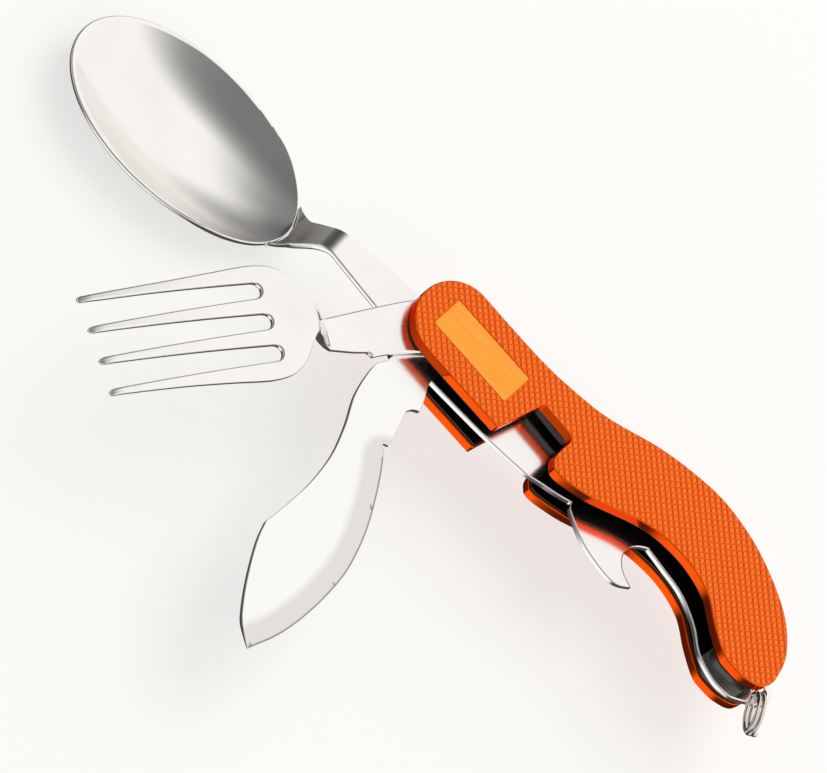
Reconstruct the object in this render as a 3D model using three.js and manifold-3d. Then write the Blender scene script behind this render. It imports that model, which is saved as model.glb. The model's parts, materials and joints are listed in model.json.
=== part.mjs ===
// Folding camping cutlery: a fork, a knife and a spoon turn on one pivot pin between two
// aluminium scales, around a steel centre plate whose belly edge carries a bottle opener.
// Millimetres. The origin is on the pivot axis at the rear face of the rear scale, +X runs
// along the handle to the key ring, +Y to the spine, +Z to the front scale.
import * as THREE from 'three';
import { mergeVertices } from 'three/addons/utils/BufferGeometryUtils.js';
import Module from 'manifold-3d';

const wasm = await Module();
wasm.setup();

// ---------------------------------------------------------------- driving dimensions
// Layers, rear to front
const SCALE_T = 3.2;
const LINER_T = 0.8;
const PLATE_T = 1.8;
const SPOON_T = 2;
const KNIFE_T = 1.8;
const FORK_T = 2;
const SPOON_WASHER_T = 0.3;
const SHIM_T = 0.28;
const RUN_GAP = 0.08; // on each face of whatever turns on the pivot

// Handle outline
const PIVOT_END = [0.5, 0.7]; // centre of the round end over the pivot
const PIVOT_END_R = 8.6;
const HANDLE_REACH = 94.2; // pivot axis to tail
const HUMP_H = 20.9; // pivot axis to the top of the spine
const BELLY_Y = -7.9;
const BELLY_RISE = 0.7; // of the belly from the pivot to the notch
const NOTCH_FROM = 21.5; // the notches that the folded fork and spoon necks pass through
const NOTCH_SLANT = 2.5;
const NOTCH_TO = 33;
const NOTCH_TOP = 3.9;
const REAR_NOTCH_TOP = 6.2;
const LINER_INSET = 0.35;
const SPRING_INSET = 0.2;

// Pins, screws and their clearances
const PIN_R = 2.1;
const PIN_HEAD_R = 3;
const RIVET_R = 1.2;
const RIVET_HEAD_R = 1.9;
const RIVET_SIDES = 20;
const MIDDLE_RIVET = [0.474, 0.875]; // along the grip and up the hump, as in grip()
const TAIL_RIVET = [0.87, 0.3];
const SCREW_R = 1;
const SCREW_HEAD_R = 1.9;
const SCREW_DEPTH = 2.2;
const PIVOT_SCREW = [14.5, 1];
const GRIP_SCREW = [0.64, 0.6];
const FIT = 0.15; // radial clearance of a fixed pin or screw
const BORE_FIT = 0.2; // radial clearance of a tool on the pivot pin
const WASHER_R = 4;

// Tools: angle of each at rest and folded, degrees about the pivot from +X
const FORK_REST = -120;
const FORK_FOLDED = 5;
const KNIFE_REST = -73.2;
const KNIFE_FOLDED = 5.5;
const SPOON_REST = -173.5;
const SPOON_FOLDED = 4.5;
const TANG_R = 5.5;
const BAY_GAP = 0.45; // round a folded tool, and along its way in

const FORK_REACH = 77.2;
const FORK_AXIS = -2.9; // the head's centre line, beside the pivot
const FORK_HEAD_HALF = 11.7;
const TINES = 4;
const TINE_PITCH = 6.4;
const TINE_TIP_W = 1.3;
const TINE_STEP = 0.8; // each tine and each slot starts that much lower than the one before
const SLOT_FROM = 40.6;
const SLOT_W = 3.1;
const FORK_CRANK = [25, 30.6];
const FORK_RISE = 10.4;
const FORK_BOW = [0.6, 0.1, -2.2]; // above the crank's top: at the slots, half-way on, at the tips

const KNIFE_REACH = 79;
const CUTTER_MARGIN = 1; // how far a cutting solid runs past what it cuts

const SPOON_REACH = 91.4;
const SPOON_AXIS = -0.5;
const BOWL_FROM = 34;
const BOWL_HALF = 15.7;
const BOWL_DEPTH = 7.6;
const BOWL_WALL = 1.3;
const SPOON_CRANK = [27, 32.8];
const SPOON_DROP = 10.1; // tang's front face to the bowl's rim

const BEND_R = 2.2; // centre line of the sheet in each crank

// Ring and its lug
const LUG = [0.1, 3.7]; // beyond the tail, and above the pivot
const LUG_R = 2.7;
const LUG_HOLE_R = 1.4;
const RING_R = 4.1;
const RING_WIRE_R = 0.48;
const RING_TURNS = 2;
const RING_PITCH = 1.08;
const RING_HANG = -53; // degrees from +X, at rest
const RING_BAY_R = 4.5;

// ---------------------------------------------------------------- levels worked out
const spoonBay = SPOON_T + 2 * SPOON_WASHER_T + 4 * RUN_GAP;
const Z_REAR_LINER = SCALE_T;
const Z_SPOON_BAY = Z_REAR_LINER + LINER_T;
const Z_SPOON_WASHER = Z_SPOON_BAY + RUN_GAP;
const Z_SPOON = Z_SPOON_WASHER + SPOON_WASHER_T + RUN_GAP;
const Z_SPOON_WASHER_2 = Z_SPOON + SPOON_T + RUN_GAP;
const Z_PLATE = Z_SPOON_BAY + spoonBay;
const Z_KNIFE_BAY = Z_PLATE + PLATE_T;
const Z_KNIFE = Z_KNIFE_BAY + RUN_GAP;
const Z_SHIM = Z_KNIFE + KNIFE_T + RUN_GAP;
const Z_FORK = Z_SHIM + SHIM_T + RUN_GAP;
const Z_FORK_BAY = Z_SHIM + SHIM_T / 2;
const Z_FRONT_LINER = Z_FORK + FORK_T + RUN_GAP;
const Z_FRONT_SCALE = Z_FRONT_LINER + LINER_T;

// ---------------------------------------------------------------- outline helpers
const v2 = (x, y) => new THREE.Vector2(x, y);
const points = (list) => list.map(([x, y]) => v2(x, y));

// A point of the grip: s runs from the notch (0) to the tail (1), h is a share of the hump.
const grip = (s, h) => v2(NOTCH_TO + s * (HANDLE_REACH - NOTCH_TO), h * HUMP_H);
const gripPoints = (list) => list.map(([s, h]) => grip(s, h));

function arcPoints(centre, radius, from, to, steps) {
  const arc = new THREE.EllipseCurve(centre[0], centre[1], radius, radius,
    THREE.MathUtils.degToRad(from), THREE.MathUtils.degToRad(to), to < from);
  return arc.getPoints(steps);
}

const spline = (list, steps) => new THREE.SplineCurve(list).getPoints(steps);

// Drops points that lie on top of the one before.
function clean(outline) {
  return outline.filter((p, i) => p.distanceTo(outline[(i + 1) % outline.length]) > 0.02);
}

// Moves each side of a counter-clockwise outline inwards by d.
function inset(outline, d) {
  const ring = clean(outline);
  const n = ring.length;
  return ring.map((p, i) => {
    const before = p.clone().sub(ring[(i + n - 1) % n]).normalize();
    const after = ring[(i + 1) % n].clone().sub(p).normalize();
    const normal = v2(-before.y - after.y, before.x + after.x);
    const stretch = Math.max(normal.lengthSq() / 2, 0.6);
    return p.clone().addScaledVector(normal, d / stretch);
  });
}

function circle(centre, radius, steps = 28) {
  return arcPoints(centre, radius, 0, 360, steps).slice(0, -1);
}

// Both sides of a bent sheet seen edge on, from [u, z, bend radius] corners and a thickness.
function bentSheet(corners, thickness, steps = 5) {
  const side = (offset) => corners.flatMap(([x, y, radius], i) => {
    const p = v2(x, y);
    const into = i > 0 ? p.clone().sub(v2(...corners[i - 1].slice(0, 2))).normalize() : null;
    const out = i < corners.length - 1
      ? v2(...corners[i + 1].slice(0, 2)).sub(p).normalize() : null;
    if (!into || !out) {
      const along = into || out;
      return [v2(p.x - along.y * offset, p.y + along.x * offset)];
    }
    const turn = Math.atan2(into.cross(out), into.dot(out));
    const sign = Math.sign(turn);
    const start = p.clone().addScaledVector(into, -radius * Math.tan(Math.abs(turn) / 2));
    const centre = [start.x - into.y * radius * sign, start.y + into.x * radius * sign];
    const from = THREE.MathUtils.radToDeg(Math.atan2(into.y, into.x)) - 90 * sign;
    return arcPoints(centre, radius - sign * offset, from,
      from + THREE.MathUtils.radToDeg(turn), steps);
  });
  return [...side(-thickness / 2), ...side(thickness / 2).reverse()];
}

// ---------------------------------------------------------------- solid helpers
function solid(geometry) {
  const bare = geometry.clone();
  bare.deleteAttribute('normal');
  bare.deleteAttribute('uv');
  const merged = mergeVertices(bare, 1e-4);
  const corners = merged.index.array;
  const kept = [];
  for (let i = 0; i < corners.length; i += 3) {
    const [a, b, c] = corners.slice(i, i + 3);
    if (a !== b && b !== c && c !== a) kept.push(a, b, c);
  }
  return new wasm.Manifold(new wasm.Mesh({
    numProp: 3,
    vertProperties: merged.attributes.position.array,
    triVerts: new Uint32Array(kept),
  }));
}

function geometryOf(body) {
  const mesh = body.getMesh();
  const position = new Float32Array(mesh.numVert * 3);
  for (let i = 0; i < mesh.numVert; i += 1) {
    position.set(mesh.vertProperties.subarray(i * mesh.numProp, i * mesh.numProp + 3), i * 3);
  }
  const geometry = new THREE.BufferGeometry();
  geometry.setAttribute('position', new THREE.BufferAttribute(position, 3));
  geometry.setIndex(new THREE.BufferAttribute(new Uint32Array(mesh.triVerts), 1));
  return geometry;
}

// A flat sheet of an outline, with its holes, from z up by its thickness.
function sheet(outline, z, thickness, holes = []) {
  const shape = new THREE.Shape(clean(outline));
  shape.holes = holes.map((hole) => new THREE.Path(hole));
  const geometry = new THREE.ExtrudeGeometry(shape, { depth: thickness, bevelEnabled: false });
  return geometry.translate(0, 0, z);
}

// A bar with an outline drawn in u and z, across v from -half to half.
function bar(outline, half) {
  return sheet(outline, -half, 2 * half).rotateX(Math.PI / 2);
}

// A turned pin from [radius, z] steps, closed on its axis.
function turned(steps, at = [0, 0], segments = 28) {
  const profile = points([[0, steps[0][1]], ...steps, [0, steps[steps.length - 1][1]]]);
  const geometry = new THREE.LatheGeometry(profile, segments);
  return geometry.rotateX(Math.PI / 2).translate(at[0], at[1], 0);
}

function washer(z, thickness) {
  return sheet(circle([0, 0], WASHER_R), z, thickness, [circle([0, 0], PIN_R + BORE_FIT)]);
}

// ---------------------------------------------------------------- handle outlines
const SPINE = [[0.01, 0.617], [0.196, 0.837], [0.343, 0.952], [0.471, 1], [0.629, 0.957],
  [0.784, 0.818], [0.895, 0.646], [0.971, 0.416], [1, 0.177]];
const TAIL_AND_BELLY = [[1, 0.177], [0.984, 0.029], [0.93, -0.048], [0.879, -0.067],
  [0.828, -0.057], [0.742, 0.062], [0.65, 0.22], [0.547, 0.282], [0.445, 0.268],
  [0.345, 0.191], [0.209, -0.014], [0.145, -0.096], [0.064, -0.167], [0.028, -0.17]];

// The round end and the straight start of the spine, on to the hump and the tail.
function spine() {
  const end = arcPoints(PIVOT_END, PIVOT_END_R, 90, 88, 1);
  const start = points([[10.9, 9.6], [18, 10], [24, 10.8]]);
  return spline([end[0], ...start, ...gripPoints(SPINE)], 46);
}

const pivotEnd = () => arcPoints(PIVOT_END, PIVOT_END_R, 90, 270, 16);

// The outline of a scale, counter-clockwise, with its notch up to a height.
function scaleOutline(notchTop) {
  const belly = spline(gripPoints(TAIL_AND_BELLY), 44);
  const lobe = spline([grip(0.028, -0.17), grip(0.002, -0.1), v2(NOTCH_TO - 0.3, 0.3),
    v2(NOTCH_TO - 0.3, notchTop - 1.6)], 10);
  const corner = arcPoints([NOTCH_TO - 1.5, notchTop - 1.2], 1.2, 0, 90, 4);
  const notch = points([[NOTCH_FROM, BELLY_Y + BELLY_RISE], [NOTCH_FROM + NOTCH_SLANT, notchTop]]);
  return clean([...pivotEnd(), v2(PIVOT_END[0], BELLY_Y), ...notch, ...corner.reverse(),
    ...lobe.reverse(), ...belly.reverse(), ...spine().reverse()]);
}

const handleOutline = scaleOutline(NOTCH_TOP);
const rearOutline = scaleOutline(REAR_NOTCH_TOP);
const middleRivet = grip(...MIDDLE_RIVET);
const tailRivet = grip(...TAIL_RIVET);
const lug = [HANDLE_REACH + LUG[0], LUG[1]];

// The centre plate: along the belly to the opener's hook, its mouth, and on to the ring lug.
function plateOutline() {
  const belly = points([[6, -7.7], [21, -6.3], [32, -4.7]]);
  const root = gripPoints([[0.049, -0.158], [0.1, -0.11], [0.147, -0.053]]);
  const hook = gripPoints([[0.147, -0.053], [0.163, -0.11], [0.209, -0.172], [0.276, -0.234],
    [0.345, -0.261], [0.408, -0.263], [0.445, -0.23], [0.48, -0.141]]);
  const mouth = gripPoints([[0.48, -0.141], [0.435, -0.105], [0.41, -0.067], [0.389, -0.005],
    [0.382, 0.053], [0.384, 0.129], [0.399, 0.201], [0.42, 0.254]]);
  const tail = gripPoints([[0.42, 0.254], [0.497, 0.238], [0.598, 0.211], [0.701, 0.1],
    [0.783, -0.05], [0.879, -0.115], [0.948, -0.091]]);
  const lugArc = arcPoints(lug, LUG_R, -60, 75, 12);
  const end = [...pivotEnd().slice(1), v2(PIVOT_END[0], BELLY_Y)];
  const top = spine().filter((p) => p.x < HANDLE_REACH - 1.2).reverse();
  return clean([...end, ...spline(belly, 12), ...spline(root, 6), ...spline(hook, 24),
    ...spline(mouth, 20), ...spline(tail, 26), ...lugArc, ...top]);
}

// ---------------------------------------------------------------- tool outlines
// Each is drawn along +X from the pivot; +Y is the side that turns towards the spine.
function forkTang() {
  const round = arcPoints([0, 0], TANG_R, 60, 238, 14);
  return clean([...round, ...points([[3.4, -6.4], [6.5, -6.6], [FORK_CRANK[0] + 0.7, -4.9],
    [FORK_CRANK[1] + 3, -4.9], [FORK_CRANK[1] + 3, -0.3], [FORK_CRANK[1] - 3.4, -0.3],
    [FORK_CRANK[0] - 0.6, 1.5], [19.5, 2.5], [17, 2.8], [16, 3.9], [12, 3.7]])]);
}

// The head: rounded shoulders, the outer sides of the outer tines, and the round tips.
function forkHead() {
  const tipR = TINE_TIP_W / 2;
  const outerTine = (TINES - 1) / 2 * TINE_PITCH;
  const side = [[FORK_CRANK[1] - 1, 2.6], [31.6, 4.6], [33.5, 7.7], [35.6, 10],
    [38.2, FORK_HEAD_HALF - 0.5], [42.5, FORK_HEAD_HALF], [50, FORK_HEAD_HALF - 0.45],
    [60, FORK_HEAD_HALF - 1], [FORK_REACH - 2, outerTine + tipR]];
  const sideTo = (way, shorter) => spline(side.map(([u, v], i) => (
    v2(i < side.length - 1 ? u : u - shorter, FORK_AXIS + way * v))), 26);
  const tip = (i) => arcPoints([FORK_REACH - tipR - TINE_STEP * i,
    FORK_AXIS - outerTine + i * TINE_PITCH], tipR, -90, 90, 5);
  const tips = Array.from({ length: TINES }, (_, i) => tip(i));
  const shortSide = sideTo(1, TINE_STEP * (TINES - 1));
  return clean([...sideTo(-1, 0), ...tips.flat(), ...shortSide.reverse()]);
}

// The gap between two tines: narrow and round at the shoulder, wide at the tips.
function forkSlot(index) {
  const centre = FORK_AXIS + (index - (TINES - 2) / 2) * TINE_PITCH;
  const half = (TINE_PITCH - TINE_TIP_W) / 2;
  const from = SLOT_FROM - TINE_STEP * index;
  const round = arcPoints([from + SLOT_W / 2, centre], SLOT_W / 2, 90, 270, 6);
  const end = FORK_REACH + CUTTER_MARGIN;
  return clean([...round, v2(end, centre - half), v2(end, centre + half)]);
}

// The knife: a back that drops to the point from a corner, a belly, and a small choil.
function knifeOutline() {
  const back = points([[3.5, -5], [11, -5.9], [14, -7.7], [21.2, -8], [28, -6.5], [35, -5.7],
    [42.3, -6.4], [49, -8.1], [54.6, -9.9]]);
  const drop = points([[54.6, -9.9], [58, -9.6], [62, -8.7], [67, -7.2], [71.5, -5.5],
    [75.2, -3.6], [KNIFE_REACH, 0]]);
  const edge = points([[KNIFE_REACH, 0], [76.8, 1.4], [74, 3.2], [70.5, 4.9], [66, 6.5], [60, 8],
    [53, 8.9], [44.5, 8.2], [36.5, 6.2], [31, 4.3], [27.4, 2.7]]);
  const ricasso = points([[27.4, 2], [26.7, 2], [26.5, 3.1], [18.3, 2.5], [17.2, 3.3],
    [16.6, 4.8], [14.4, 4.5], [10.3, 3.6], [6, 4.3]]);
  const round = arcPoints([0, 0], TANG_R, 60, 285, 16);
  return clean([...round, ...spline(back, 26), ...spline(drop, 18), ...spline(edge, 30),
    ...ricasso]);
}

function spoonTang() {
  const round = arcPoints([0, 0], TANG_R, 50, 305, 18);
  const neck = SPOON_CRANK[1];
  return clean([...round, ...points([[7.9, -4.8], [16.6, -4.6], [SPOON_CRANK[0] - 1, -3.7],
    [SPOON_CRANK[0] + 2, -3.7], [neck, -4.5], [neck + 3.4, -6.6], [neck + 3.4, 4.6], [neck, 2.4],
    [SPOON_CRANK[0] + 2, 1.7], [SPOON_CRANK[0] - 1, 1.8], [12.5, 3.6], [6.5, 4.2]])]);
}

// ---------------------------------------------------------------- tools
const pinBore = () => circle([0, 0], PIN_R + BORE_FIT);

function fork() {
  const z = Z_FORK + FORK_T / 2;
  const top = z + FORK_RISE;
  const [atSlots, halfWay, atTips] = FORK_BOW;
  const profile = bentSheet([[-TANG_R - CUTTER_MARGIN, z], [FORK_CRANK[0] + 0.6, z, BEND_R],
    [FORK_CRANK[1], top, BEND_R], [SLOT_FROM + 3, top + atSlots, 60],
    [60, top + halfWay, 60], [FORK_REACH + CUTTER_MARGIN, top + atTips]], FORK_T);
  const tall = [Z_FORK - 2, FORK_RISE + FORK_T + 4];
  const side = solid(bar(profile, 20));
  const stem = solid(sheet(forkTang(), ...tall, [pinBore()])).intersect(side);
  let head = solid(sheet(forkHead(), ...tall)).intersect(side);
  for (let i = 0; i < TINES - 1; i += 1) {
    head = head.subtract(solid(sheet(forkSlot(i), ...tall)));
  }
  return geometryOf(stem.add(head));
}

const knife = () => sheet(knifeOutline(), Z_KNIFE, KNIFE_T, [pinBore()]);

// Half-width of the bowl's outline in the direction phi from its centre.
const bowlMid = (BOWL_FROM + SPOON_REACH) / 2;
function bowlEdge(phi, smaller) {
  const along = (SPOON_REACH - BOWL_FROM) / 2 - smaller;
  const across = (BOWL_HALF - smaller) * (1 + 0.05 * Math.cos(phi));
  return [along * Math.cos(phi), across * Math.sin(phi)];
}

// A solid of revolution whose circles are stretched to the bowl's outline. Each profile
// row is [share of the outline, height, how much smaller the outline is].
function bowlSolid(rows, segments = 48) {
  const geometry = new THREE.LatheGeometry(points(rows.map(([r], i) => [r, i])), segments);
  const position = geometry.attributes.position;
  for (let i = 0; i <= segments; i += 1) {
    const phi = 2 * Math.PI * (i % segments) / segments;
    rows.forEach(([share, height, smaller], j) => {
      const [du, dv] = bowlEdge(phi, smaller);
      position.setXYZ(i * rows.length + j, bowlMid + share * du, SPOON_AXIS + share * dv, height);
    });
  }
  return geometry;
}

function spoon() {
  const rim = Z_SPOON + SPOON_T - SPOON_DROP;
  const rings = 7;
  const shares = Array.from({ length: rings + 1 }, (_, i) => Math.sin(Math.PI / 2 * i / rings));
  const dish = (share) => rim - BOWL_DEPTH * (1 - share ** 2.4);
  const outer = shares.map((s) => [s, dish(s) - BOWL_WALL * (1 - s ** 4), 0]);
  const inner = shares.map((s) => [s, dish(s), BOWL_WALL]).reverse();
  const bowl = solid(bowlSolid([...outer, ...inner]));
  const hollow = solid(bowlSolid([...inner.slice().reverse(), [1, rim + 6, BOWL_WALL],
    [0, rim + 6, BOWL_WALL]]));
  const z = Z_SPOON + SPOON_T / 2;
  const low = z - SPOON_DROP;
  const profile = bentSheet([[-TANG_R - 3, z], [SPOON_CRANK[0], z, BEND_R],
    [SPOON_CRANK[1], low, BEND_R], [SPOON_CRANK[1] + 6, low - 0.6]], SPOON_T);
  const tall = [low - 4, SPOON_DROP + SPOON_T + 6];
  const stem = solid(sheet(spoonTang(), ...tall, [pinBore()])).intersect(solid(bar(profile, 12)));
  return geometryOf(bowl.add(stem.subtract(hollow)));
}

// ---------------------------------------------------------------- handle pieces
// Where a folding tool goes: its outline, a little larger, at every few degrees of the way.
function bay(outline, folded, z, thickness) {
  const room = inset(outline, -BAY_GAP);
  const places = Array.from({ length: 14 }, (_, i) => THREE.MathUtils.degToRad(folded - 6 * i));
  const cutter = [z - CUTTER_MARGIN, thickness + 2 * CUTTER_MARGIN];
  return places.map((angle) => solid(sheet(room, ...cutter).rotateZ(angle)))
    .reduce((all, one) => all.add(one));
}

// The strip that a spring leaves along the spine, with its nose on the tang and its foot
// round the tail rivet.
function springOutline() {
  const nose = points([[0.6, PIVOT_END_R], [0.6, TANG_R + 0.5], [3, TANG_R + 0.4], [9, TANG_R + 0.9],
    [15.5, 5.9], [19, 5.3], [24, NOTCH_TOP + 0.5], [NOTCH_TO + 2, NOTCH_TOP + 0.7]]);
  const under = spline(gripPoints([[0.033, 0.22], [0.14, 0.38], [0.27, 0.6], [0.42, 0.72],
    [0.56, 0.73], [0.68, 0.62], [0.755, 0.45], [0.785, 0.3], [0.79, 0.12], [0.8, -0.3]]), 24);
  return clean([...nose, ...under, ...gripPoints([[1.1, -0.3], [1.1, 1.1], [0, 1.1]]),
    v2(0.6, HUMP_H * 1.1)]);
}

function spring(z, thickness, toolOutline, folded) {
  const cutter = [z - CUTTER_MARGIN, thickness + 2 * CUTTER_MARGIN];
  const blank = solid(sheet(inset(handleBlank(), SPRING_INSET), z, thickness, rivetHoles(RIVET_R)));
  const strip = solid(sheet(springOutline(), ...cutter));
  const ringBay = solid(sheet(circle(lug, RING_BAY_R), ...cutter));
  const room = bay(toolOutline, folded, z, thickness);
  return geometryOf(blank.intersect(strip).subtract(room).subtract(ringBay));
}

// The handle's outline with no notch, for pieces that stay inside the spine and the tail.
function handleBlank() {
  const belly = spline(gripPoints(TAIL_AND_BELLY), 44);
  return clean([...pivotEnd(), v2(PIVOT_END[0], BELLY_Y), v2(NOTCH_FROM, BELLY_Y + BELLY_RISE),
    ...belly.reverse(), ...spine().reverse()]);
}

const gripScrew = grip(...GRIP_SCREW).toArray();
const rivetHoles = (radius) => [middleRivet, tailRivet]
  .map((at) => circle(at.toArray(), radius + FIT, RIVET_SIDES));

// A scale, with blind holes for its two screws on the side that faces the liner.
function scale(outline, z, inner) {
  const into = inner > z ? -1 : 1;
  let body = solid(sheet(outline, z, SCALE_T));
  for (const at of [PIVOT_SCREW, gripScrew]) {
    const hole = circle(at, SCREW_R + FIT, 16);
    const from = into > 0 ? inner - CUTTER_MARGIN : inner - SCREW_DEPTH - FIT;
    body = body.subtract(solid(sheet(hole, from, SCREW_DEPTH + FIT + CUTTER_MARGIN)));
  }
  return geometryOf(body);
}

function liner(outline, z) {
  const holes = [circle([0, 0], PIN_HEAD_R + FIT), ...rivetHoles(RIVET_HEAD_R),
    circle(PIVOT_SCREW, SCREW_HEAD_R + FIT, 20), circle(gripScrew, SCREW_HEAD_R + FIT, 20)];
  return sheet(inset(outline, LINER_INSET), z, LINER_T, holes);
}

function openerPlate() {
  const holes = [circle([0, 0], PIN_R + FIT), ...rivetHoles(RIVET_R),
    circle(lug, LUG_HOLE_R, 24)];
  return sheet(plateOutline(), Z_PLATE, PLATE_T, holes);
}

// A pin through everything between the scales, with a flat head in each liner.
function headedPin(radius, head, at, segments) {
  return turned([[head, Z_REAR_LINER], [head, Z_SPOON_BAY], [radius, Z_SPOON_BAY],
    [radius, Z_FRONT_LINER], [head, Z_FRONT_LINER], [head, Z_FRONT_SCALE]], at, segments);
}

function scaleScrew(at, inner, outwards) {
  const steps = [[SCREW_HEAD_R, inner], [SCREW_HEAD_R, inner + outwards * LINER_T],
    [SCREW_R, inner + outwards * LINER_T], [SCREW_R, inner + outwards * (LINER_T + SCREW_DEPTH)]];
  return turned(outwards > 0 ? steps : steps.reverse(), at, 16);
}

// A split ring: a close coil of wire, drawn hanging along +X from the point that the lug holds.
function splitRing() {
  const steps = RING_TURNS * 22;
  const turns = Array.from({ length: steps + 1 }, (_, i) => {
    const share = i / steps;
    const angle = 2 * Math.PI * RING_TURNS * share;
    return new THREE.Vector3(RING_R * (1 + Math.cos(angle)), (share - 0.5) * RING_TURNS * RING_PITCH,
      RING_R * Math.sin(angle));
  });
  const wire = new THREE.Shape(circle([0, 0], RING_WIRE_R, 8));
  return new THREE.ExtrudeGeometry(wire, {
    steps, extrudePath: new THREE.CatmullRomCurve3(turns), bevelEnabled: false });
}

// ---------------------------------------------------------------- the object
const steel = { color: 0xe9e6e2, roughness: 0.25, metalness: 1 };
const orange = { color: 0xff6a10, roughness: 0.35, metalness: 0.8 };
const darkSteel = { color: 0x9a9894, roughness: 0.2, metalness: 1 };

const knifeBay = Z_FORK_BAY - Z_KNIFE_BAY;
const forkBay = Z_FRONT_LINER - Z_FORK_BAY;
const cutlery = new THREE.Group();

function add(name, geometry, { color, roughness, metalness }, place = {}) {
  const material = new THREE.MeshStandardMaterial({ color, roughness, metalness });
  const mesh = new THREE.Mesh(geometry, material);
  mesh.name = name;
  mesh.position.set(...(place.at || [0, 0, 0]));
  mesh.rotation.z = THREE.MathUtils.degToRad(place.turn || 0);
  cutlery.add(mesh);
}

add('rear_scale', scale(rearOutline, 0, SCALE_T), orange);
add('front_scale', scale(handleOutline, Z_FRONT_SCALE, Z_FRONT_SCALE), orange);
add('rear_liner', liner(rearOutline, Z_REAR_LINER), darkSteel);
add('front_liner', liner(handleOutline, Z_FRONT_LINER), darkSteel);
add('opener_plate', openerPlate(), steel);
add('spoon_spring', spring(Z_SPOON_BAY, spoonBay, spoonTang(), SPOON_FOLDED), darkSteel);
add('knife_spring', spring(Z_KNIFE_BAY, knifeBay, knifeOutline(), KNIFE_FOLDED), darkSteel);
add('fork_spring', spring(Z_FORK_BAY, forkBay, forkTang(), FORK_FOLDED), darkSteel);
add('pivot_pin', headedPin(PIN_R, PIN_HEAD_R, [0, 0], 28), darkSteel);
add('middle_rivet', headedPin(RIVET_R, RIVET_HEAD_R, middleRivet.toArray(), RIVET_SIDES),
  darkSteel);
add('tail_rivet', headedPin(RIVET_R, RIVET_HEAD_R, tailRivet.toArray(), RIVET_SIDES), darkSteel);
add('rear_spoon_washer', washer(Z_SPOON_WASHER, SPOON_WASHER_T), darkSteel);
add('front_spoon_washer', washer(Z_SPOON_WASHER_2, SPOON_WASHER_T), darkSteel);
add('knife_fork_shim', washer(Z_SHIM, SHIM_T), darkSteel);
add('rear_scale_pivot_screw', scaleScrew(PIVOT_SCREW, Z_SPOON_BAY, -1), darkSteel);
add('rear_scale_grip_screw', scaleScrew(gripScrew, Z_SPOON_BAY, -1), darkSteel);
add('front_scale_pivot_screw', scaleScrew(PIVOT_SCREW, Z_FRONT_LINER, 1), darkSteel);
add('front_scale_grip_screw', scaleScrew(gripScrew, Z_FRONT_LINER, 1), darkSteel);
add('fork', fork(), steel, { turn: FORK_REST });
add('knife', knife(), steel, { turn: KNIFE_REST });
add('spoon', spoon(), steel, { turn: SPOON_REST });
add('split_ring', splitRing(), steel, { at: [...lug, Z_PLATE + PLATE_T / 2], turn: RING_HANG });

export default cutlery;
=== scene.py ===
"""Folding camping cutlery: polished steel fork, knife and spoon in a knurled orange handle.

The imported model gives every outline, place and level. Sizes below are in millimetres, and
each mesh is turned into metres as it is made.
"""

import json
import math

import bmesh
import bpy
import numpy as np
from mathutils import Matrix, Vector
from mathutils.geometry import delaunay_2d_cdt


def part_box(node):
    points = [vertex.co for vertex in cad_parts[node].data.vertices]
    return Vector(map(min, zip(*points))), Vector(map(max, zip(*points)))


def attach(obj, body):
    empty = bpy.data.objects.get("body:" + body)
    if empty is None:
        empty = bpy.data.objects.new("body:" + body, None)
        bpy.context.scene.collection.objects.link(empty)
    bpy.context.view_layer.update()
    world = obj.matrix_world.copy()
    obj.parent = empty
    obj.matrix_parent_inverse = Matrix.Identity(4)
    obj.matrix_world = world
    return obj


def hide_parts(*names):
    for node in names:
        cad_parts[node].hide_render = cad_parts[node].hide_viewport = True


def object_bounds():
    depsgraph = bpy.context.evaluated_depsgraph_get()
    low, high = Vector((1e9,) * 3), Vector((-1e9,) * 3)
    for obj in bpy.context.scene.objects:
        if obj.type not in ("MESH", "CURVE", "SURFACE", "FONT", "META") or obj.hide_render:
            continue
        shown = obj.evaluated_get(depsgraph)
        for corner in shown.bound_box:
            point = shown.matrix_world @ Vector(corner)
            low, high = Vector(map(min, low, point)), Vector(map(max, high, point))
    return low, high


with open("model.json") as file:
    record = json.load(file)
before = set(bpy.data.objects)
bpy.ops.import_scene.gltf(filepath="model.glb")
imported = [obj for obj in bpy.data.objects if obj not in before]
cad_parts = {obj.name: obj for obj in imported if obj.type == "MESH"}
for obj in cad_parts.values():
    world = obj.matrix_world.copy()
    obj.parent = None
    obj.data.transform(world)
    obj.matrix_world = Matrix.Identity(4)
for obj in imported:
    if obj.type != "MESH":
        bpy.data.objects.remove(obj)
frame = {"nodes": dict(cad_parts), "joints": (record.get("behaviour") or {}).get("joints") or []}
CAD_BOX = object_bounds()

# ---------------------------------------------------------------- driving sizes
MM = 0.001

# Camera
CAMERA_TILT = 27  # degrees from straight above, towards the belly
CAMERA_ROLL = 50  # the handle runs down to the right at this angle
CAMERA_LENS = 400
CAMERA_SENSOR = 36
FRAME_WIDTH = 161.2
AIM = (4.8, -13.8)  # from the pivot, along the handle and across it

# Outlines
LOOP_STEP = 0.5
PLAN_MARGIN = 0.06  # keeps a smoothed outline inside the faceted one
SMALLEST_HOLE = 0.5  # in square millimetres
SHORTEST_SIDE = 0.06
SHARP_TURN = 38  # a corner that turns by more degrees than this stays a corner
EDGE_STEPS = 4  # faces across half of a rounded edge

# Tools: angle of each at rest, degrees about the pivot from the handle's line
FORK_REST = -120
KNIFE_REST = -73.2
SPOON_REST = -173.5
TOOL_GRID = 0.55
CRANK_BEND = 0.3  # share of a crank that the bend at each end reaches into

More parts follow.
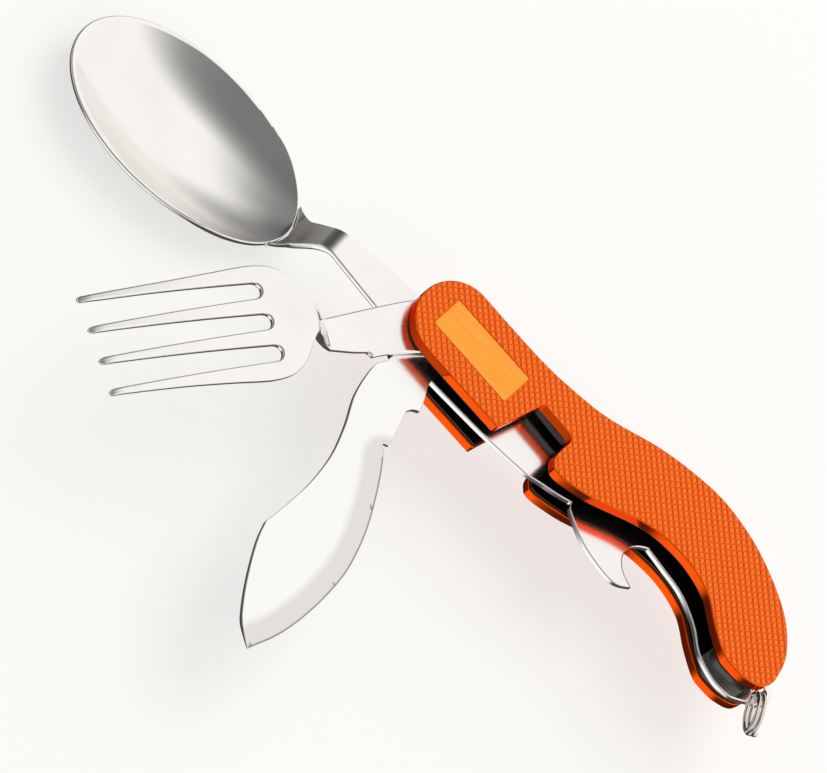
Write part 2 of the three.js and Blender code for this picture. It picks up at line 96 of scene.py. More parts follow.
FORK_SHEET = 2.0
FORK_CRANK = (25.6, 30.6)
FORK_RISE = 10.4
FORK_AXIS = -2.9
FORK_REACH = 77.2
FORK_BOW = (48, 17, 0.6, 30, 2.8)  # crown at, rise over, rise, fall over, fall
FORK_CUP = (11.7, 0.5)  # half-width of the head, how far its sides drop
FORK_TIP_SHEET = 1.3
FORK_THINS = (42, 36)  # where the sheet begins to thin, and over what length
FORK_EDGE = (0.42, 0.7)  # how far its rounded edge reaches inwards, and share of the way down
FORK_TIP_ROUND = 3.2  # length of the rounded point of each tine
FORK_TIP_DROP = 0.35
TINE_PITCH = 6.4
TINE_STEP = 0.8  # each tine ends that much before its neighbour

KNIFE_GRIND = 5.2  # from the cutting edge up to the grind line
KNIFE_HONED = 0.45  # width of the honed line along the cutting edge
KNIFE_EDGE_SHEET = 0.22
KNIFE_EDGE_FROM = 29
KNIFE_GRIND_TURN = 0.3  # half-width of the soft line where flat and bevel meet
KNIFE_EDGE = (0.14, 0.25)

SPOON_SHEET = 2.0
SPOON_CRANK = (27.0, 33.2)
SPOON_DROP = 10.1
SPOON_AXIS = -0.5
BOWL_FROM = 34
BOWL_HALF = 15.7
BOWL_RIM = 0.65
BOWL_SHEET = 1.6
BOWL_THINS = (30, 42)
BOWL_OPENS = 31  # where the dish begins, in the foot of the crank
BOWL_EGG = 0.05  # how much wider the bowl is towards its tip
BOWL_POWER = 2.4  # 2 is a plain dish, and more has a flatter bottom
BOWL_TURNS = (1.6, 0.25)  # how softly the dish turns over at the neck, and at the rim
BOWL_MOUTH = 12  # length over which the one becomes the other
BOWL_RIM_LINES = (-0.18, 0, 0.18, 0.45)  # beyond the rim, where the mesh follows it
BOWL_RIM_FROM = 40
BOWL_FILLET = (31.5, 43, 60)  # where the neck widens into the bowl, and how softly
SPOON_EDGE = (0.3, 0.7)

# Knurling on the scales
KNURL_PITCH = 1.15
KNURL_HEIGHT = 0.11
KNURL_GROOVES = (47, -38)  # directions of the two sets of grooves, degrees from the handle's line
KNURL_STUD = (0.98, 0.52)  # width of each stud at its foot and its crest, as a share of the pitch
KNURL_SUNK = 0.06
KNURL_MARGIN = 0.2
PLAQUE_SIZE = (20.6, 7.4)
PLAQUE_CENTRE = (8.0, 1.0)
PLAQUE_TURN = 1.8
PLAQUE_CORNER = 0.35
PLAQUE_RAISED = 0.12
POCKET_MARGIN = 0.16

# Split ring
RING_R = 4.1
RING_WIRE_R = 0.44
RING_TURNS = 2
RING_PITCH = 1.08
RING_HANG = -53  # degrees from the handle's line

# Studio: directions, half-angles in degrees where a zone is full and where it ends, and levels
WORLD_STRENGTH = 1.0
DARK_SIDES = [((-0.1, -0.9, 0.42), 8, 60, 0.8), ((-0.85, -0.1, 0.5), 12, 58, 0.76),
              ((-0.8, 0.6, 0.1), 15, 50, 0.8), ((0, 0, -1), 42, 80, 0.93)]
WHITE_CARDS = [((0, -0.6, -0.8), 12, 24, 1.1)]
LAMP = ((0.1, 0.75, 1.3), 1.1, 9.0)  # place and size in metres, watts
TABLE_GLOW = 0.66
TABLE_HALF = 3  # metres


# ---------------------------------------------------------------- outlines from the frame
def unit(vectors):
    """Each vector at length 1."""
    return vectors / np.maximum(np.linalg.norm(vectors, axis=-1, keepdims=True), 1e-12)


def turned(points, degrees):
    """Points turned about the pivot."""
    c, s = math.cos(math.radians(degrees)), math.sin(math.radians(degrees))
    return points @ np.array([[c, s], [-s, c]])


def area_of(loop):
    """A loop's area, negative where it runs clockwise."""
    x, y = loop[:, 0], loop[:, 1]
    return 0.5 * float((x * np.roll(y, -1) - y * np.roll(x, -1)).sum())


def plan_loops(node, turn=0, back=False):
    """A node's outline seen from the front, then its holes, in mm and turned back by turn.
    Material lies on the left of each loop. From the back, the plan is mirrored."""
    bm = bmesh.new()
    bm.from_mesh(frame["nodes"][node].data)
    bmesh.ops.remove_doubles(bm, verts=bm.verts, dist=0.003 * MM)
    bm.normal_update()
    bm.faces.ensure_lookup_table()
    bm.verts.index_update()
    bm.faces.index_update()
    side = -1 if back else 1
    seen = [side * face.normal.z > 0.2 for face in bm.faces]
    after = {}
    for face in bm.faces:
        for corner in face.loops:
            if seen[face.index] and not seen[corner.link_loop_radial_next.face.index]:
                after.setdefault(corner.vert.index, []).append(corner.link_loop_next.vert.index)
    plan = turned(np.array([vert.co[:2] for vert in bm.verts]) * [1, side] / MM, -turn)
    bm.free()
    loops = []
    while after:
        start = at = min(after, key=lambda i: (plan[i, 0], plan[i, 1]))
        chain = []
        while not chain or at != start:
            chain.append(at)
            following = after[at].pop()
            if not after[at]:
                del after[at]
            at = following
        loops.append(plan[chain])
    loops = [loop for loop in loops if abs(area_of(loop)) > SMALLEST_HOLE]
    loops.sort(key=lambda loop: -abs(area_of(loop)))
    return [inset(smooth_loop(loop), PLAN_MARGIN) for loop in loops]


def smooth_loop(points, step=LOOP_STEP):
    """A smooth curve through an outline's points, which keeps its sharp corners."""
    gap = np.linalg.norm(points - np.roll(points, 1, 0), axis=1)
    points = points[gap > SHORTEST_SIDE]
    n = len(points)
    into = points - np.roll(points, 1, 0)
    out = np.roll(points, -1, 0) - points
    cross = into[:, 0] * out[:, 1] - into[:, 1] * out[:, 0]
    turn = np.degrees(np.abs(np.arctan2(cross, (into * out).sum(1))))
    made = []
    for i in range(n):
        j = (i + 1) % n
        p1, p2 = points[i], points[j]
        p0 = 2 * p1 - p2 if turn[i] > SHARP_TURN else points[i - 1]
        p3 = 2 * p2 - p1 if turn[j] > SHARP_TURN else points[(j + 1) % n]
        count = max(1, round(float(np.linalg.norm(p2 - p1)) / step))
        made += [through(p0, p1, p2, p3, k / count) for k in range(count)]
    return np.array(made)


def through(p0, p1, p2, p3, share):
    """A point between p1 and p2 on the centripetal curve through four points."""
    t0 = 0.0
    t1 = t0 + np.linalg.norm(p1 - p0) ** 0.5
    t2 = t1 + np.linalg.norm(p2 - p1) ** 0.5
    t3 = t2 + np.linalg.norm(p3 - p2) ** 0.5
    t = t1 + share * (t2 - t1)
    a1 = ((t1 - t) * p0 + (t - t0) * p1) / (t1 - t0)
    a2 = ((t2 - t) * p1 + (t - t1) * p2) / (t2 - t1)
    a3 = ((t3 - t) * p2 + (t - t2) * p3) / (t3 - t2)
    b1 = ((t2 - t) * a1 + (t - t0) * a2) / (t2 - t0)
    b2 = ((t3 - t) * a2 + (t - t1) * a3) / (t3 - t1)
    return ((t2 - t) * b1 + (t - t1) * b2) / (t2 - t1)


def outward(loop):
    """The mitre at each point of a loop, away from the material."""
    into = unit(loop - np.roll(loop, 1, 0))
    out = unit(np.roll(loop, -1, 0) - loop)
    total = into + out
    normal = np.stack([total[:, 1], -total[:, 0]], 1)
    return 2 * normal / np.maximum((normal**2).sum(1, keepdims=True), 0.8)


def inset(loop, distance):
    """A loop moved into the material."""
    return loop - outward(loop) * distance


# ---------------------------------------------------------------- sheets of metal
def inside(points, rings):
    """Which points lie inside the rings, holes left out."""
    odd = np.zeros(len(points), bool)
    for ring in rings:
        a, b = ring, np.roll(ring, -1, 0)
        for (x0, y0), (x1, y1) in zip(a, b):
            if y0 == y1:
                continue
            spans = (points[:, 1] < y0) != (points[:, 1] < y1)
            odd ^= spans & (points[:, 0] < (x1 - x0) * (points[:, 1] - y0) / (y1 - y0) + x0)
    return odd


def nearest(points, others):
    """How far each point is from the nearest of the others."""
    return np.sqrt(np.array([((others - p) ** 2).sum(1).min() for p in points]))


def filled(rings, spacing, creases=()):
    """Points inside the rings, about spacing apart, and triangles over rings and points whose
    sides run along the creases."""
    edge = np.vstack([*rings, *creases])
    within = np.zeros((0, 2))
    if spacing:
        low, high = edge.min(0), edge.max(0)
        x, y = np.meshgrid(np.arange(low[0], high[0], spacing), np.arange(low[1], high[1], spacing))
        grid = np.stack([x.ravel(), y.ravel()], 1)
        grid = grid[inside(grid, rings)]
        within = grid[nearest(grid, edge) > 0.6 * spacing]
    corners = np.vstack([edge, within])
    lines, start = [], 0
    for ring in rings:
        n = len(ring)
        lines += [(start + i, start + (i + 1) % n) for i in range(n)]
        start += n
    kept = start
    for crease in creases:
        gap = np.linalg.norm(np.diff(crease, axis=0), axis=1)
        lines += [(start + i, start + i + 1) for i in np.flatnonzero(gap < 3 * LOOP_STEP).tolist()]
        start += len(crease)
    result = delaunay_2d_cdt([Vector(p) for p in corners], lines, [], 0, 1e-6)
    origin = []
    for place, sources in zip(result[0], result[3]):
        origin.append(sources[0] if sources else len(corners))
        if not sources:
            corners = np.vstack([corners, place[:2]])
    faces = np.array([[origin[i] for i in f] for f in result[2] if len(f) == 3])
    faces = faces[inside(corners[faces].mean(1), rings)]
    within = corners[kept:]
    a, b, c = (corners[faces[:, i]] for i in range(3))
    crossed = (b - a)[:, 0] * (c - a)[:, 1] - (b - a)[:, 1] * (c - a)[:, 0]
    faces[crossed < 0] = faces[crossed < 0][:, ::-1]
    return within, faces


def flat(low, high):
    """The surface of a flat sheet between two heights."""
    def surface(x, y):
        return np.full_like(x, (low + high) / 2), np.full_like(x, (high - low) / 2)

    return surface


def slope_of(height, x, y):
    """How steeply a height rises along x and along y."""
    d = 0.02
    return ((height(x + d, y) - height(x - d, y)) / (2 * d),
            (height(x, y + d) - height(x, y - d)) / (2 * d))


def bent(middle, sheet):
    """A sheet that follows a height, with its thickness square to its own slope."""
    def surface(x, y):
        gx, gy = slope_of(middle, x, y)
        return middle(x, y), 0.5 * sheet(x, y) * np.sqrt(1 + gx**2 + gy**2)

    return surface


def plate(name, loops, surface, edge=0.25, share=0.4, spacing=None, turn=0, back=False, creases=()):
    """A sheet with rounded edges. surface(x, y) gives its middle height and half its upright
    thickness; edge is how far the rounding reaches inwards, share how far down. Its faces have
    sides along the creases."""
    quarter = [math.pi / 2 * k / EDGE_STEPS for k in range(EDGE_STEPS + 1)]
    section = [(edge * (1 - math.cos(a)), 1 - share * (1 - math.sin(a)), a) for a in quarter]
    section = [(i, -h, -a) for i, h, a in reversed(section)] + section
    x_y, levels, tilts, sides, faces = [], [], [], [], []
    first = 0
    bands = len(section)
    for loop in loops:
        n = len(loop)
        away = unit(outward(loop))
        for reach, level, angle in section:
            x_y.append(inset(loop, reach))
            levels.append(np.full(n, level))
            tilts.append(np.full(n, angle))
            sides.append(away)
        step = np.arange(n)
        following = (step + 1) % n
        for k in range(bands - 1):
            low, high = first + k * n, first + (k + 1) * n
            faces += np.stack([low + step, low + following, high + following, high + step],
                              1).tolist()
        first += bands * n
    rings = [inset(loop, edge) for loop in loops]
    within, triangles = filled(rings, spacing, creases)
    sizes = [len(loop) for loop in loops]
    starts = np.concatenate([[0], np.cumsum([bands * n for n in sizes])])
    for top in (False, True):
        index = [starts[i] + (bands - 1 if top else 0) * n + np.arange(n)
                 for i, n in enumerate(sizes)]
        index = np.concatenate(index + [first + np.arange(len(within))])
        cap = index[triangles]
        faces += (cap if top else cap[:, ::-1]).tolist()
        x_y.append(within)
        sign = 1 if top else -1
        levels.append(np.full(len(within), float(sign)))
        tilts.append(np.full(len(within), sign * math.pi / 2))
        sides.append(np.zeros((len(within), 2)))
        first += len(within)
    xy, level, tilt, side = (np.concatenate(part) for part in (x_y, levels, tilts, sides))
    middle, half = surface(xy[:, 0], xy[:, 1])
    z = middle + level * half
    way = np.where(level >= 0, 1.0, -1.0)
    gx, gy = slope_of(lambda a, b: (lambda m, h: m + way * h)(*surface(a, b)), xy[:, 0], xy[:, 1])
    face_normal = unit(np.stack([-gx * way, -gy * way, way], 1))
    normal = np.abs(np.sin(tilt))[:, None] * face_normal
    normal[:, :2] += np.cos(tilt)[:, None] * side
    return made_mesh(name, np.column_stack([xy, z]), faces, unit(normal), turn, back)


def made_mesh(name, points, faces, normals, turn=0, back=False):
    """A mesh object from points in mm, turned about the pivot. A back face's piece was
    drawn from behind, so it is rolled over about the handle's line."""
    if back:
        points = points * [1, -1, -1]
        normals = normals * [1, -1, -1]
    points = np.column_stack([turned(points[:, :2], turn), points[:, 2]]) * MM
    normals = np.column_stack([turned(normals[:, :2], turn), normals[:, 2]])
    mesh = bpy.data.meshes.new(name)
    mesh.from_pydata(points.tolist(), [], faces)
    mesh.shade_smooth()
    mesh.normals_split_custom_set_from_vertices(normals.tolist())
    return linked(bpy.data.objects.new(name, mesh))


def linked(obj):
    """An object, once it is in the scene."""
    bpy.context.scene.collection.objects.link(obj)
    return obj


def levels_of(node):
    """A node's lowest and highest level in mm."""
    low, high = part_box(node)
    return low.z / MM, high.z / MM


def placed(obj, body, material, *nodes, slot=None):
    """Gives a piece its body, finish and the nodes that it stands for."""
    if not obj.data.materials:
        obj.data.materials.append(material)
    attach(obj, body)
    if nodes:
        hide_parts(*nodes)
    return obj


# ---------------------------------------------------------------- shader nodes
def linear(code):
    """A linear colour from an sRGB hex code."""
    parts = [int(code[i:i + 2], 16) / 255 for i in (1, 3, 5)]
    return [c / 12.92 if c <= 0.04045 else ((c + 0.055) / 1.055) ** 2.4 for c in parts] + [1.0]


def add(tree, kind, settings=None, inputs=None):
    """Adds a node with its settings, and its inputs as values or as sockets to link."""
    made = tree.nodes.new(kind)
    for key, value in (settings or {}).items():
        setattr(made, key, value)
    for key, value in (inputs or {}).items():
        if isinstance(value, bpy.types.NodeSocket):
            tree.links.new(value, made.inputs[key])
        else:
            made.inputs[key].default_value = value
    return made


def new_material(name, **values):
    """A material with its shader, and its Object coordinates in millimetres."""
    made = bpy.data.materials.new(name)
    made.use_nodes = True
    tree = made.node_tree
    shader = tree.nodes["Principled BSDF"]
    for key, value in values.items():
        shader.inputs[key.replace("_", " ")].default_value = value
    place = add(tree, "ShaderNodeTexCoord").outputs["Object"]
    in_mm = add(tree, "ShaderNodeVectorMath", {"operation": "SCALE"},
                {0: place, "Scale": 1 / MM}).outputs[0]
    return made, tree, shader, in_mm


def two_tone(tree, factor, dark, light, start=0.0, end=1.0):
    """A colour that runs from dark to light as the factor goes from start to end."""
    ramp = add(tree, "ShaderNodeValToRGB", inputs={"Fac": factor})
    ramp.color_ramp.elements[0].position = start
    ramp.color_ramp.elements[0].color = linear(dark)
    ramp.color_ramp.elements[1].position = end
    ramp.color_ramp.elements[1].color = linear(light)
    return ramp.outputs["Color"]


def knurled_aluminium():
    """Anodised aluminium with rolled diamond knurling and a fine blasted grain. Its colour is
    darker in the grooves and lighter at the crests, as painted shade in the grooves."""
    made, tree, shader, at = new_material("anodised_knurled_aluminium", Metallic=0.4)
    crest = add(tree, "ShaderNodeAttribute", {"attribute_name": "crest"}).outputs["Fac"]
    cloud = add(tree, "ShaderNodeTexNoise", inputs={"Vector": at, "Scale": 0.12, "Detail": 2.0})
    # Painted shade: the crest share darkens the colour in the grooves and lightens it on the crests;
    # the faint cloud adds random tone.
    level = add(tree, "ShaderNodeMath", {"operation": "MULTIPLY_ADD"},
                {0: cloud.outputs["Fac"], 1: 0.16, 2: crest})
    shade = two_tone(tree, level.outputs[0], "#F25400", "#FF7010", 0.1, 0.6)
    tree.links.new(shade, shader.inputs["Base Color"])
    grain = add(tree, "ShaderNodeTexNoise", inputs={"Vector": at, "Scale": 9.0, "Detail": 3.0})
    rough = add(tree, "ShaderNodeMapRange",
                inputs={"Value": grain.outputs["Fac"], "To Min": 0.24, "To Max": 0.36})
    tree.links.new(rough.outputs[0], shader.inputs["Roughness"])
    bump = add(tree, "ShaderNodeBump",
               inputs={"Height": grain.outputs["Fac"], "Strength": 0.12, "Distance": 0.02 * MM})
    tree.links.new(bump.outputs[0], shader.inputs["Normal"])
    return made


def smooth_aluminium():
    """Anodised aluminium, milled and tumbled: a satin gloss with faint milling lines that run
    along the edge of the sheet."""
    made, tree, shader, at = new_material("anodised_milled_aluminium", Metallic=0.95)
    stretch = add(tree, "ShaderNodeVectorMath", {"operation": "MULTIPLY"},
                  {0: at, 1: (0.15, 0.15, 6.0)})
    lines = add(tree, "ShaderNodeTexNoise", inputs={"Vector": stretch.outputs[0], "Scale": 1.0})
    shader.inputs["Specular Tint"].default_value = linear("#FF7A30")
    shade = two_tone(tree, lines.outputs["Fac"], "#FF5C08", "#FF7018", 0.3, 0.7)
    tree.links.new(shade, shader.inputs["Base Color"])
    rough = add(tree, "ShaderNodeMapRange",
                inputs={"Value": lines.outputs["Fac"], "To Min": 0.1, "To Max": 0.17})
    tree.links.new(rough.outputs[0], shader.inputs["Roughness"])
    return made


def plaque_aluminium():
    """Bleached anodised aluminium, lightly brushed along the plaque: a paler satin orange."""
    made, tree, shader, at = new_material("anodised_brushed_plaque", Metallic=0.6)
    stretch = add(tree, "ShaderNodeVectorMath", {"operation": "MULTIPLY"},
                  {0: at, 1: (0.12, 4.0, 1.0)})
    lines = add(tree, "ShaderNodeTexNoise",
                inputs={"Vector": stretch.outputs[0], "Scale": 1.6, "Detail": 3.0})
    shade = two_tone(tree, lines.outputs["Fac"], "#FF9A26", "#FFB04A", 0.3, 0.7)
    tree.links.new(shade, shader.inputs["Base Color"])
    rough = add(tree, "ShaderNodeMapRange",
                inputs={"Value": lines.outputs["Fac"], "To Min": 0.3, "To Max": 0.44})
    tree.links.new(rough.outputs[0], shader.inputs["Roughness"])
    return made


def polished_steel(name, turn, colours, rough, scratch=0.03):
    """Stainless steel, polished on a wheel: near-mirror, with faint hairlines along the piece
    and a soft haze that comes and goes."""
    made, tree, shader, at = new_material(name, Metallic=1.0)
    along = add(tree, "ShaderNodeVectorRotate", {"rotation_type": "Z_AXIS"},
                {"Vector": at, "Angle": math.radians(-turn)})
    stretch = add(tree, "ShaderNodeVectorMath", {"operation": "MULTIPLY"},
                  {0: along.outputs[0], 1: (0.1, 7.0, 7.0)})
    hairs = add(tree, "ShaderNodeTexNoise",
                inputs={"Vector": stretch.outputs[0], "Scale": 1.0, "Detail": 4.0})
    haze = add(tree, "ShaderNodeTexNoise", inputs={"Vector": at, "Scale": 0.09, "Detail": 2.0})
    shade = two_tone(tree, haze.outputs["Fac"], colours[0], colours[1], 0.3, 0.7)
    tree.links.new(shade, shader.inputs["Base Color"])
    both = add(tree, "ShaderNodeMath", {"operation": "ADD"},
               {0: hairs.outputs["Fac"], 1: haze.outputs["Fac"]})
    roughness = add(tree, "ShaderNodeMapRange",
                    inputs={"Value": both.outputs[0], "From Min": 0.6, "From Max": 1.4,
                            "To Min": rough[0], "To Max": rough[1]})
    tree.links.new(roughness.outputs[0], shader.inputs["Roughness"])
    bump = add(tree, "ShaderNodeBump",
               inputs={"Height": hairs.outputs["Fac"], "Strength": scratch, "Distance": 0.01 * MM})
    tree.links.new(bump.outputs[0], shader.inputs["Normal"])
    return made


def ground_steel():
    """Stainless blade steel: a satin flat with grinding lines across the blade, a ground bevel whose
    lines are a little coarser, and a honed line along the cutting edge. The bevel is painted a little
    darker and the honed line much darker: painted shade for the dark reflections of these tilted
    faces."""
    made, tree, shader, at = new_material("ground_blade_steel", Metallic=1.0)
    along = add(tree, "ShaderNodeVectorRotate", {"rotation_type": "Z_AXIS"},
                {"Vector": at, "Angle": math.radians(-KNIFE_REST)})
    stretch = add(tree, "ShaderNodeVectorMath", {"operation": "MULTIPLY"},
                  {0: along.outputs[0], 1: (8.0, 0.12, 1.0)})
    lines = add(tree, "ShaderNodeTexNoise",
                inputs={"Vector": stretch.outputs[0], "Scale": 1.0, "Detail": 4.0})
    bevel = add(tree, "ShaderNodeAttribute", {"attribute_name": "bevel"}).outputs["Fac"]
    honed = add(tree, "ShaderNodeAttribute", {"attribute_name": "honed"}).outputs["Fac"]
    # Painted shade: the bevel is painted a little darker than the flat and the honed line far darker,
    # for the dark reflections of these faces.
    shade = two_tone(tree, bevel, "#FBFAF8", "#E4E2DF", 0.0, 0.3)
    shade = add(tree, "ShaderNodeMix", {"data_type": "RGBA"},
                {"Factor": honed, "A": shade, "B": linear("#96938A")})
    tree.links.new(shade.outputs["Result"], shader.inputs["Base Color"])
    fine = add(tree, "ShaderNodeMapRange",
               inputs={"Value": lines.outputs["Fac"], "From Min": 0.3, "From Max": 0.7,
                       "To Min": 0.14, "To Max": 0.24})
    rough = add(tree, "ShaderNodeMath", {"operation": "MULTIPLY_ADD"},
                {0: bevel, 1: 0.1, 2: fine.outputs[0]})
    tree.links.new(rough.outputs[0], shader.inputs["Roughness"])
    bump = add(tree, "ShaderNodeBump",
               inputs={"Height": lines.outputs["Fac"], "Strength": 0.05, "Distance": 0.01 * MM})
    tree.links.new(bump.outputs[0], shader.inputs["Normal"])
    return made


# ---------------------------------------------------------------- geometry node trees
def new_tree(name, sockets):
    """An empty geometry node tree with named inputs, as (tree, group input, group output)."""
    tree = bpy.data.node_groups.new(name, "GeometryNodeTree")
    tree.interface.new_socket("Geometry", in_out="OUTPUT", socket_type="NodeSocketGeometry")
    for label, kind in sockets.items():
        tree.interface.new_socket(label, in_out="INPUT", socket_type=kind)
    return tree, add(tree, "NodeGroupInput").outputs, add(tree, "NodeGroupOutput")


def run_tree(name, tree, values):
    """The plain mesh object that a tree makes from its inputs' values."""
    holder = linked(bpy.data.objects.new(name + "_maker", bpy.data.meshes.new(name + "_maker")))
    modifier = holder.modifiers.new(name, "NODES")
    modifier.node_group = tree
    for item in tree.interface.items_tree:
        if item.in_out == "INPUT" and item.name in values:
            modifier[item.identifier] = values[item.name]
    depsgraph = bpy.context.evaluated_depsgraph_get()
    mesh = bpy.data.meshes.new_from_object(holder.evaluated_get(depsgraph))
    holder.modifiers.remove(modifier)
    bpy.data.objects.remove(holder)
    return linked(bpy.data.objects.new(name, mesh))


def sheared(tree, given, place):
    """A unit-grid place as a place on the scale."""
    parts = add(tree, "ShaderNodeSeparateXYZ", inputs={0: place}).outputs
    first = add(tree, "ShaderNodeVectorMath", {"operation": "SCALE"},
                {0: given["First side"], "Scale": parts[0]})
    second = add(tree, "ShaderNodeVectorMath", {"operation": "MULTIPLY_ADD"},
                 {0: given["Second side"], 1: parts[1], 2: first.outputs[0]})
    upright = add(tree, "ShaderNodeMath", {"operation": "MULTIPLY"},
                  {0: parts[2], 1: given["Height"]})
    raised = add(tree, "ShaderNodeCombineXYZ", inputs={2: upright.outputs[0]})
    moved = add(tree, "ShaderNodeVectorMath", {"operation": "ADD"},
                {0: second.outputs[0], 1: raised.outputs[0]})
    return add(tree, "ShaderNodeVectorMath", {"operation": "ADD"},
               {0: moved.outputs[0], 1: given["Centre"]}).outputs[0]


def knurl_tree():
    """Square frustums on a unit grid, sheared onto two sets of grooves and trimmed by a solid."""
    tree, given, out = new_tree("Diamond knurling", {
        "Columns": "NodeSocketInt", "Rows": "NodeSocketInt", "Height": "NodeSocketFloat",
        "First side": "NodeSocketVector", "Second side": "NodeSocketVector",
        "Centre": "NodeSocketVector", "Foot": "NodeSocketFloat", "Crest": "NodeSocketFloat",
        "Reach": "NodeSocketFloat", "Trim": "NodeSocketObject", "Finish": "NodeSocketMaterial"})
    half = {"operation": "MULTIPLY"}
    foot = add(tree, "ShaderNodeMath", half, {0: given["Foot"], 1: math.sqrt(0.5)})
    crest = add(tree, "ShaderNodeMath", half, {0: given["Crest"], 1: math.sqrt(0.5)})
    stud = add(tree, "GeometryNodeMeshCone", {"fill_type": "NGON"},
               {"Vertices": 4, "Side Segments": 1, "Radius Top": crest.outputs[0],
                "Radius Bottom": foot.outputs[0], "Depth": 1.0})
    square = add(tree, "GeometryNodeTransform",
                 inputs={"Geometry": stud.outputs["Mesh"], "Rotation": (0, 0, math.radians(45))})
    grid = add(tree, "GeometryNodeMeshGrid",
               inputs={"Size X": given["Columns"], "Size Y": given["Rows"],
                       "Vertices X": given["Columns"], "Vertices Y": given["Rows"]})
    here = add(tree, "GeometryNodeInputPosition").outputs[0]
    trim = add(tree, "GeometryNodeObjectInfo", {"transform_space": "RELATIVE"},
               {"Object": given["Trim"]}).outputs["Geometry"]
    near = add(tree, "GeometryNodeProximity", {"target_element": "FACES"},
               {0: trim, "Sample Position": sheared(tree, given, here)})
    kept = add(tree, "FunctionNodeCompare", {"data_type": "FLOAT", "operation": "LESS_THAN"},
               {0: near.outputs["Distance"], 1: given["Reach"]})
    studs = add(tree, "GeometryNodeInstanceOnPoints",
                inputs={"Points": grid.outputs["Mesh"], "Selection": kept.outputs[0],
                        "Instance": square.outputs[0]})
    real = add(tree, "GeometryNodeRealizeInstances", inputs={0: studs.outputs[0]})
    shear = add(tree, "GeometryNodeSetPosition",
                inputs={"Geometry": real.outputs[0], "Position": sheared(tree, given, here)})
    cut = add(tree, "GeometryNodeMeshBoolean", {"operation": "INTERSECT", "solver": "EXACT"})
    tree.links.new(shear.outputs[0], cut.inputs["Mesh 2"])
    tree.links.new(trim, cut.inputs["Mesh 2"])
    finish = add(tree, "GeometryNodeSetMaterial",
                 inputs={"Geometry": cut.outputs["Mesh"], "Material": given["Finish"]})
    tree.links.new(finish.outputs[0], out.inputs[0])
    return tree


def ring_tree():
    """A close coil of round wire, hanging from a point."""
    tree, given, out = new_tree("Split ring", {
        "Turns": "NodeSocketFloat", "Radius": "NodeSocketFloat", "Length": "NodeSocketFloat",
        "Wire": "NodeSocketFloat", "Hang": "NodeSocketRotation", "Held at": "NodeSocketVector",
        "Finish": "NodeSocketMaterial"})
    coil = add(tree, "GeometryNodeCurveSpiral",
               inputs={"Resolution": 40, "Rotations": given["Turns"],
                       "Start Radius": given["Radius"], "End Radius": given["Radius"],
                       "Height": given["Length"]})
    back = add(tree, "ShaderNodeMath", {"operation": "MULTIPLY"}, {0: given["Length"], 1: -0.5})
    aside = add(tree, "ShaderNodeCombineXYZ", inputs={0: given["Radius"], 2: back.outputs[0]})
    centred = add(tree, "GeometryNodeTransform",
                  inputs={"Geometry": coil.outputs[0], "Translation": aside.outputs[0]})
    upright = add(tree, "GeometryNodeTransform",
                  inputs={"Geometry": centred.outputs[0], "Rotation": (math.radians(90), 0, 0)})
    hung = add(tree, "GeometryNodeTransform",
               inputs={"Geometry": upright.outputs[0], "Rotation": given["Hang"],
                       "Translation": given["Held at"]})
    wire = add(tree, "GeometryNodeCurvePrimitiveCircle",
               inputs={"Resolution": 16, "Radius": given["Wire"]})
    tube = add(tree, "GeometryNodeCurveToMesh",
               inputs={"Curve": hung.outputs[0], "Profile Curve": wire.outputs[0], "Fill Caps": True})
    smooth = add(tree, "GeometryNodeSetShadeSmooth", inputs={"Geometry": tube.outputs[0]})
    real = add(tree, "GeometryNodeRealizeInstances", inputs={0: smooth.outputs[0]})
    finish = add(tree, "GeometryNodeSetMaterial",
                 inputs={"Geometry": real.outputs[0], "Material": given["Finish"]})
    tree.links.new(finish.outputs[0], out.inputs[0])
    return tree


# ---------------------------------------------------------------- surfaces of the tools
def soft(x, k):
    """x above k and nothing below -k, with a round turn between."""
    return np.where(x > k, x, np.clip(x + k, 0, None) ** 2 / (4 * k))


def ramp(u, start, end, k):
    """From 0 before start to 1 after end, in a straight slope with round bends."""
    t = (u - start) / (end - start)
    return soft(t, k) - soft(t - 1, k)


def fork_surface():
    """The tang, the crank up to the head, and the head's bow and cup, thinner at the tips."""
    level = levels_of("fork")[0] + FORK_SHEET / 2
    crown, rise_over, rise, fall_over, fall = FORK_BOW
    half_width, cup = FORK_CUP

    def point(u, v):
        """0 along a tine, rising to 1 at its round point."""
        tip = FORK_REACH - TINE_STEP * ((v - FORK_AXIS) / TINE_PITCH + 1.5)
        return np.clip((u - tip + FORK_TIP_ROUND) / FORK_TIP_ROUND, 0, 1)

    def middle(u, v):
        before = np.clip((crown - u) / rise_over, 0, 1) ** 2
        after = np.clip((u - crown) / fall_over, 0, 1.2) ** 2
        bow = rise * (1 - before) - fall * after - FORK_TIP_DROP * point(u, v) ** 2
        cupped = cup * ((v - FORK_AXIS) / half_width) ** 2
        return level + ramp(u, *FORK_CRANK, CRANK_BEND) * (FORK_RISE + bow - cupped)

    def sheet(u, v):
        along = np.clip((u - FORK_THINS[0]) / FORK_THINS[1], 0, 1)
        thinned = FORK_SHEET + (FORK_TIP_SHEET - FORK_SHEET) * along
        return thinned * np.sqrt(1 - 0.75 * point(u, v) ** 2)

    return bent(middle, sheet)


def filleted(loop, low, high, rounds):
    """A loop whose corners between two distances from the pivot are drawn out softly."""
    loop = loop.copy()
    share = np.clip((loop[:, 0] - low) / (high - low), 0, 1)
    weight = (0.5 * np.sin(math.pi * share) ** 0.5)[:, None]
    for _ in range(rounds):
        between = (np.roll(loop, 1, 0) + np.roll(loop, -1, 0)) / 2
        loop += weight * (between - loop)
    return loop


